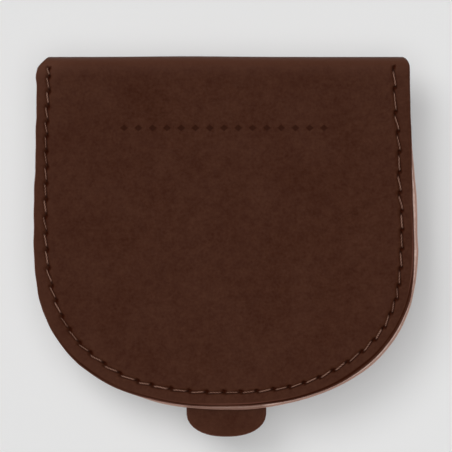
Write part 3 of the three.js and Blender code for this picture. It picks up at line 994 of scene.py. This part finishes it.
def cut_mouth(piece):
    """Cuts the cup's floor off short of the hinge, so that coins slide out, and leaves two arms."""
    mouth_y = hinge_y - CUP_MOUTH_SETBACK
    arm_inside = HINGE_HALF_WIDTH - CUP_ARM_WIDTH
    bpy.context.view_layer.objects.active = piece
    bpy.ops.object.mode_set(mode="EDIT")
    for place, way in (
        ((0, mouth_y, 0), (0, 1, 0)),
        ((centre_x - arm_inside, 0, 0), (1, 0, 0)),
        ((centre_x + arm_inside, 0, 0), (1, 0, 0)),
    ):
        bpy.ops.mesh.select_all(action="SELECT")
        bpy.ops.mesh.bisect(plane_co=place, plane_no=way)
    bpy.ops.object.mode_set(mode="OBJECT")
    middles = face_middles(piece)
    past = middles[:, 1] > mouth_y
    between = np.abs(middles[:, 0] - centre_x) < arm_inside
    choose(piece, "FACE", past & (between | (middles[:, 2] < cup_flange_z - UNDER_FLANGE)))
    bpy.ops.mesh.delete(type="FACE")
    bpy.ops.object.mode_set(mode="OBJECT")


cup = moulded_cup()
cut_mouth(cup)
bpy.ops.object.mode_set(mode="EDIT")
bpy.ops.mesh.select_all(action="SELECT")
bpy.ops.mesh.normals_make_consistent(inside=False)
bpy.ops.object.mode_set(mode="OBJECT")
apply_modifier(
    cup, "thickness", "SOLIDIFY",
    thickness=CUP_THICKNESS, offset=-1, use_even_offset=True,
)
apply_modifier(
    cup, "trimmed_edge", "BEVEL",
    width=CUP_EDGE_ROUNDING, segments=2, limit_method="ANGLE", angle_limit=math.radians(60),
    use_clamp_overlap=False,
)


def cup_edge_line():
    """The cup's cut edge, with each step of its ring parted in four."""
    ring = hand_cut(cup_template, 0, cup_flange_end, LEAST_CORNER_RADIUS, LID_HAND)
    steps = np.roll(ring, -1, axis=0) - ring
    return np.vstack([ring + steps * part / 4 for part in range(4)])


# The band gets painted shade where it shows over the tab, which lies under it
TAB_SHADE_HALF_WIDTH = TAB_HALF_WIDTH + 1 * MM
TAB_SHADE_FADE = 2 * MM

from_tab = corners_of(cup)[:, 0] - centre_x - TAB_OFFSET
add_attribute(cup, "from_edge", near_edge(corners_of(cup), cup_edge_line()) / MM)
add_attribute(cup, "tab_shade", np.clip((TAB_SHADE_HALF_WIDTH - np.abs(from_tab)) / TAB_SHADE_FADE, 0, 1))


# The raw edge's fibres are really finer, and are drawn as coarse as they need to show
FIBRE_WIDTH = 0.6 * MM
BLOTCH_WIDTH = 1.4 * MM


def natural_cowhide():
    """Undyed vegetable-tanned cowhide: pinkish tan, matt, browner along its raw edge, with painted shade on
    its rounded outer strip, along a step and over the tab.
    """
    material, tree = new_material("natural_vegetable_tanned_cowhide")
    from_edge = add(tree, "ShaderNodeAttribute", {}, attribute_name="from_edge").outputs["Fac"]
    tab_shade = add(tree, "ShaderNodeAttribute", {}, attribute_name="tab_shade").outputs["Fac"]

    coords = add(tree, "ShaderNodeTexCoord", {}).outputs["Object"]
    fibres = add(tree, "ShaderNodeTexNoise", {"Vector": coords, "Scale": 1 / FIBRE_WIDTH, "Detail": 4.0})
    blotches = add(tree, "ShaderNodeTexNoise", {"Vector": coords, "Scale": 1 / BLOTCH_WIDTH, "Detail": 2.0})
    both = add(tree, "ShaderNodeMath", {0: blotches, 1: 1.2, 2: fibres}, operation="MULTIPLY_ADD")
    level = add(tree, "ShaderNodeMapRange", {"Value": both, "From Min": 0.75, "From Max": 1.45})
    colour = add(tree, "ShaderNodeMix", {
        0: level, 6: linear("#d3ad9e"), 7: linear("#f8d9cc"),
    }, data_type="RGBA")
    # Darker outer strip: the raw edge's browner colour with painted shade on its rounded outer part
    raw_edge_and_shade = add(tree, "ShaderNodeMapRange", {
        "Value": from_edge, "From Min": 0.24, "From Max": 0.36, "To Min": 1.0, "To Max": 0.0,
    })
    # A painted shade line along a step in the edge
    step_shade = add(tree, "ShaderNodeMath", {0: from_edge, 1: 0.31, 2: 0.05}, operation="COMPARE")
    # Painted shade on the band where the tab lies under it
    painted_tab_shade = add(tree, "ShaderNodeMath", {0: tab_shade, 1: 0.72}, operation="MULTIPLY")
    for share, tint in ((raw_edge_and_shade, "#c49d8f"), (step_shade, "#a87e70"), (painted_tab_shade, "#8a6556")):
        colour = add(tree, "ShaderNodeMix", {0: share, 6: colour, 7: linear(tint)}, data_type="RGBA")
    bump = add(tree, "ShaderNodeBump", {"Height": fibres, "Strength": 0.5, "Distance": 0.05 * MM})
    shader = add(tree, "ShaderNodeBsdfPrincipled", {
        "Base Color": colour, "Roughness": 0.8, "Normal": bump, "Specular IOR Level": 0.15,
    })
    add(tree, "ShaderNodeOutputMaterial", {"Surface": shader})
    return material


cup.data.materials.clear()
cup.data.materials.append(natural_cowhide())
bpy.ops.object.select_all(action="DESELECT")
cup.select_set(True)
bpy.context.view_layer.objects.active = cup
bpy.ops.object.shade_smooth_by_angle(angle=math.radians(50))
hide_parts("coin_cup")
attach(cup, "root")


# The seam is saddle stitched with waxed linen thread of two plies, about 0.4 mm thick. Each stitch
# lies in the bed that it has pressed into the leather and dives into the slits at its two ends.
PLY_RADIUS = 0.095 * MM
PLY_OFFSET = 0.085 * MM
THREAD_TURNS = 3.0
THREAD_STEPS = 36
THREAD_RISE = 0.02 * MM
THREAD_DIVE = 1.3 * MM
DIVE_POWER = 10.0
THREAD_TOP = 0.44
THREAD_BOW = 0.09 * MM
THREAD_LIFT = 0.03 * MM
THREAD_WIDTHS = (0.7, 1.15)
STITCH_LENGTH = 3.75 * MM
PLY_SIDES = 8
END_SHADE_START = 0.16
END_SHADE_STOP = 0.70
END_SHADE_FADES = (0.1, 0.12)
PLY_SHADE = 0.07 * MM
PLY_FADE = 0.11 * MM


def twisted_stitch():
    """One stitch along X, from hole to hole: two plies, twisted."""
    plies = []
    for side in (-1, 1):
        bpy.ops.mesh.primitive_circle_add(
            vertices=PLY_SIDES, radius=PLY_RADIUS,
            location=(0, side * PLY_OFFSET, 0), rotation=(0, math.pi / 2, 0),
        )
        plies.append(bpy.context.object)
        bpy.ops.object.transform_apply(location=True, rotation=True, scale=True)
    stitch = join(plies, "stitch")
    apply_modifier(
        stitch, "twist", "SCREW",
        axis="X", angle=2 * math.pi * THREAD_TURNS, screw_offset=STITCH_LENGTH, steps=THREAD_STEPS,
        render_steps=THREAD_STEPS, use_smooth_shade=True,
    )
    bpy.ops.object.mode_set(mode="EDIT")
    bpy.ops.mesh.select_all(action="SELECT")
    bpy.ops.mesh.fill_holes(sides=0)
    bpy.ops.mesh.select_all(action="SELECT")
    bpy.ops.mesh.normals_make_consistent(inside=False)
    bpy.ops.object.mode_set(mode="OBJECT")
    gone = corners_of(stitch)[:, 0] / STITCH_LENGTH
    # stitch_end darkens the thread's ends: painted shade where it dives into the holes
    at_start = (END_SHADE_START - gone) / END_SHADE_FADES[0]
    at_stop = (gone - END_SHADE_STOP) / END_SHADE_FADES[1]
    add_attribute(stitch, "stitch_end", np.clip(np.maximum(at_start, at_stop), 0, 1))
    return stitch


def saddle_stitching():
    """Copies of the stitch, each laid between its two holes and bent into them, joined as one piece."""
    hand = np.random.RandomState(5)
    pattern = twisted_stitch()
    stitches = []
    for start, stop in zip(stitch_starts, stitch_stops):
        stitch = pattern.copy()
        stitch.data = pattern.data.copy()
        bpy.context.collection.objects.link(stitch)
        way = stop - start
        length = np.hypot(*way)
        gone, y, z = (corners_of(stitch) / [STITCH_LENGTH, 1, 1]).T
        roll = hand.uniform(0, math.pi)
        width = hand.uniform(*THREAD_WIDTHS)
        aside = (y * math.cos(roll) - z * math.sin(roll)) * width
        aside += hand.uniform(-1, 1) * THREAD_BOW * np.sin(gone * 2 * math.pi)
        reach = np.where(gone < THREAD_TOP, 1 - gone / THREAD_TOP, (gone - THREAD_TOP) / (1 - THREAD_TOP))
        above_axis = y * math.sin(roll) + z * math.cos(roll)
        up = above_axis + THREAD_RISE - THREAD_DIVE * reach**DIVE_POWER
        along = way / length
        across = np.array([-way[1], way[0]]) / length
        placed = np.empty((len(gone), 3))
        placed[:, :2] = start + np.outer(gone * length, along) + np.outer(aside, across)
        over_fold = np.maximum(placed[:, 1] - fold_y, 0)
        drop = fold_radius - np.sqrt(np.maximum(fold_radius**2 - over_fold**2, 0))
        placed[:, 2] = face_z + up - drop + hand.uniform(-1, 1) * THREAD_LIFT
        set_corners(stitch, placed)
        # Painted highlight on the tops of the plies and painted shade in the valleys between them
        add_attribute(stitch, "ply_top_highlight", np.clip((above_axis - PLY_SHADE) / PLY_FADE, 0, 1))
        add_attribute(stitch, "paleness", np.full(len(gone), hand.uniform(0, 1)))
        stitches.append(stitch)
    bpy.data.objects.remove(pattern)
    return join(stitches, "saddle_stitching")


# The thread's fibres are really finer, and are drawn as coarse as they need to show
FLAX_WIDTH = 0.22 * MM


def waxed_linen():
    """Waxed linen thread: dull brown, with a painted highlight on top of the plies and painted shade between
    them, and painted shade at its ends in the holes.
    """
    material, tree = new_material("waxed_linen_thread")
    marks = {}
    for name in ("ply_top_highlight", "paleness", "stitch_end"):
        marks[name] = add(tree, "ShaderNodeAttribute", {}, attribute_name=name).outputs["Fac"]

    coords = add(tree, "ShaderNodeTexCoord", {}).outputs["Object"]
    fibres = add(tree, "ShaderNodeTexNoise", {"Vector": coords, "Scale": 1 / FLAX_WIDTH, "Detail": 3.0})
    height = add(tree, "ShaderNodeMath", {0: fibres, 1: 0.4, 2: marks["ply_top_highlight"]}, operation="MULTIPLY_ADD")
    level = add(tree, "ShaderNodeMath", {0: marks["paleness"], 1: 0.5, 2: height}, operation="MULTIPLY_ADD")
    paleness = add(tree, "ShaderNodeMapRange", {"Value": level, "From Min": 0.2, "From Max": 1.6})
    tint = add(tree, "ShaderNodeMix", {
        0: paleness, 6: linear("#4a2d21"), 7: linear("#9c7868"),
    }, data_type="RGBA")
    # Painted shade at the thread's ends
    end_shade = add(tree, "ShaderNodeMix", {
        0: marks["stitch_end"], 6: tint, 7: linear("#2a1208"),
    }, data_type="RGBA")
    bump = add(tree, "ShaderNodeBump", {"Height": fibres, "Strength": 0.5, "Distance": 0.03 * MM})
    shader = add(tree, "ShaderNodeBsdfPrincipled", {
        "Base Color": end_shade, "Roughness": 0.55, "Normal": bump, "Specular IOR Level": 0.25,
    })
    add(tree, "ShaderNodeOutputMaterial", {"Surface": shader})
    return material


stitching = saddle_stitching()
stitching.data.materials.clear()
stitching.data.materials.append(waxed_linen())
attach(stitching, "root")


# The press stud is turned brass, dulled by handling. It is riveted through the cup's floor and
# presses into the lid, so that it is hidden while the purse is shut.
STAIN_WIDTH = 1.8 * MM


def dulled_brass():
    """Dulled brass: warm and uneven in colour and shine, as handling leaves it."""
    material, tree = new_material("dulled_turned_brass")
    coords = add(tree, "ShaderNodeTexCoord", {}).outputs["Object"]
    stain = add(tree, "ShaderNodeTexNoise", {"Vector": coords, "Scale": 1 / STAIN_WIDTH, "Detail": 3.0})
    tint = add(tree, "ShaderNodeMix", {
        0: stain, 6: linear("#7a6236"), 7: linear("#b89a5e"),
    }, data_type="RGBA")
    shine = add(tree, "ShaderNodeMapRange", {
        "Value": stain, "From Min": 0.3, "From Max": 0.7, "To Min": 0.28, "To Max": 0.45,
    })
    shader = add(tree, "ShaderNodeBsdfPrincipled", {"Base Color": tint, "Roughness": shine, "Metallic": 1.0})
    add(tree, "ShaderNodeOutputMaterial", {"Surface": shader})
    return material


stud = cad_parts["press_stud"]
stud.data.materials.clear()
stud.data.materials.append(dulled_brass())


# The studio: a plain pale floor, two broad soft lights high on the upper left, one straight above,
# an even fill, and pale surroundings low down that the fold and the edges catch.
FLOOR_SIZE = 8.0
FLOOR_GAP = 0.02 * MM
CAMERA_HEIGHT = 1.8
VIEW_WIDTH = 94.92 * MM
VIEW_CENTRE = (0.07 * MM, 4.3 * MM)
SENSOR_WIDTH = 36.0
LIGHT_TURN = math.radians(45)

# The strength at which a sun straight above gives the floor the photograph's shade
FULL_LIGHT = 0.95 * math.pi

bpy.ops.mesh.primitive_plane_add(size=FLOOR_SIZE, location=(0, 0, -FLOOR_GAP))
floor = bpy.context.object
floor.name = "floor"
paper, paper_tree = new_material("pale_floor")
paper_shader = add(paper_tree, "ShaderNodeBsdfPrincipled", {
    "Base Color": (0.8, 0.8, 0.8, 1), "Roughness": 1.0, "Specular IOR Level": 0.0,
})
add(paper_tree, "ShaderNodeOutputMaterial", {"Surface": paper_shader})
floor.data.materials.append(paper)


def soft_light(name, share, breadth, tilt, shadow=True):
    """A far, broad light, tilted to the upper left, that gives the floor a share of its full light."""
    tilted = math.radians(-tilt)
    bpy.ops.object.light_add(type="SUN", location=(0, 0, 1), rotation=(tilted, 0, LIGHT_TURN))
    light = bpy.context.object
    light.name = name
    light.data.energy = share * FULL_LIGHT / math.cos(tilted)
    light.data.angle = math.radians(breadth)
    light.data.use_shadow = shadow
    light.visible_glossy = False


soft_light("key_light", 0.24, 30, 34)
soft_light("broad_key_light", 0.10, 60, 20)
soft_light("overhead_light", 0.15, 44, 0)
soft_light("fill_light", 0.47, 60, 0, shadow=False)

world = bpy.data.worlds.new("surroundings")
bpy.context.scene.world = world
world.use_nodes = True
world.node_tree.nodes.clear()
sky = world.node_tree
sky_way = add(sky, "ShaderNodeTexCoord", {}).outputs["Generated"]
sky_split = add(sky, "ShaderNodeSeparateXYZ", {"Vector": sky_way})
sky_share = add(sky, "ShaderNodeMapRange", {
    "Value": sky_split.outputs["Z"], "From Min": 0.1, "From Max": 0.6, "To Min": 0.30, "To Max": 0.01,
})
sky_light = add(sky, "ShaderNodeBackground", {"Color": (1, 1, 1, 1), "Strength": sky_share})
add(sky, "ShaderNodeOutputWorld", {"Surface": sky_light})

bpy.ops.object.camera_add(location=(*VIEW_CENTRE, face_z + CAMERA_HEIGHT), rotation=(0, 0, 0))
camera = bpy.context.object
camera.data.sensor_width = SENSOR_WIDTH
camera.data.lens = SENSOR_WIDTH * CAMERA_HEIGHT / VIEW_WIDTH
camera.data.dof.use_dof = False
camera.data.clip_start = 0.01
camera.data.clip_end = 20.0
bpy.context.scene.camera = camera
bpy.context.scene.view_settings.view_transform = "Standard"
